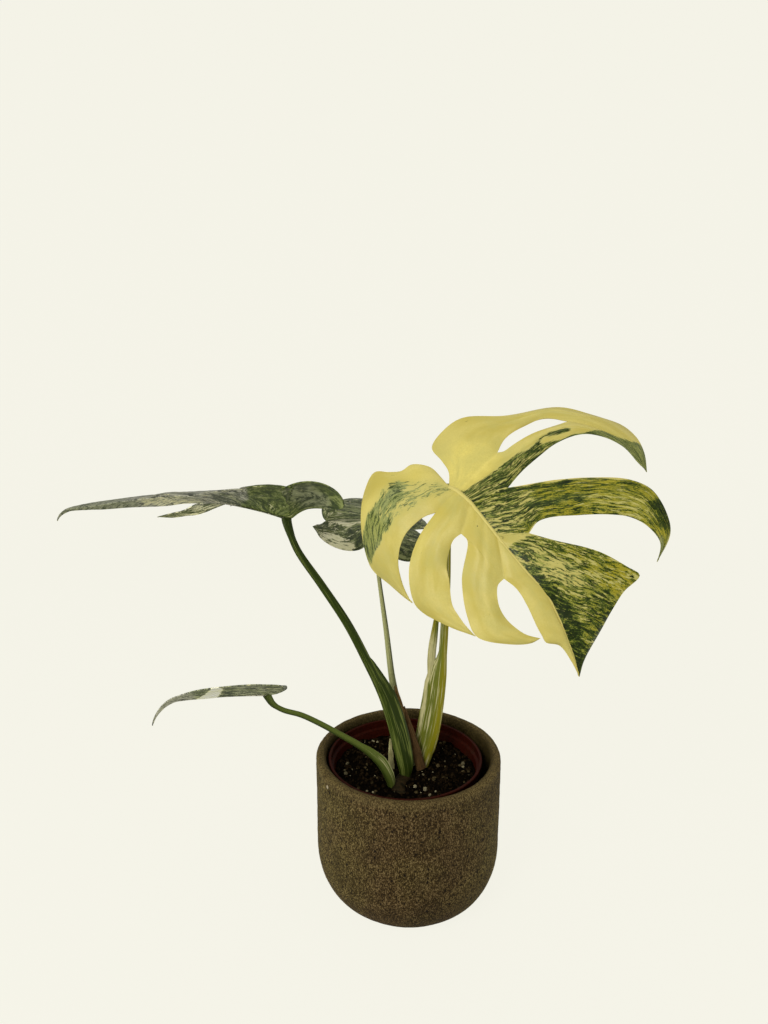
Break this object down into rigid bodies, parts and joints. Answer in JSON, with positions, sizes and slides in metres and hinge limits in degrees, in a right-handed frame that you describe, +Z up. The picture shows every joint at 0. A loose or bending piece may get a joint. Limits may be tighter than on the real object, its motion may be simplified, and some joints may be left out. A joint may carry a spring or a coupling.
{
  "type": "potted monstera plant",
  "caption": "Variegated monstera with a large split leaf, two darker split leaves and a small heart leaf, in a plastic growing pot inside a rough stoneware cover pot.",
  "frame": {"origin": "centre of the cover pot's flat foot, on the surface that it stands on", "axes": "+Z up along the pot's axis, -Y towards the viewer of the picture, +X to the viewer's right"},
  "size_m": [0.4453, 0.2724, 0.3972],
  "materials": {
    "stoneware": "rough, unglazed, speckled",
    "red_plastic": "satin",
    "potting_soil": "loose, damp, with pale grit",
    "stem_skin": "matt",
    "green_stalk": "satin, striped",
    "cream_blade": "waxy, marbled with green",
    "green_blade": "waxy, marbled with cream",
    "dry_bract": "papery",
    "pale_bract": "papery"
  },
  "bodies": {
    "root": {"outer_pot": "stoneware", "nursery_pot": "red_plastic", "soil": "potting_soil", "stem": "stem_skin", "petiole_big": "green_stalk", "petiole_left": "green_stalk", "petiole_back": "green_stalk", "petiole_small": "green_stalk", "blade_big": "cream_blade", "blade_left": "green_blade", "blade_back": "green_blade", "blade_small": "green_blade", "bract_front": "dry_bract", "bract_middle": "dry_bract", "bract_pale": "pale_bract"}
  },
  "joints": []
}
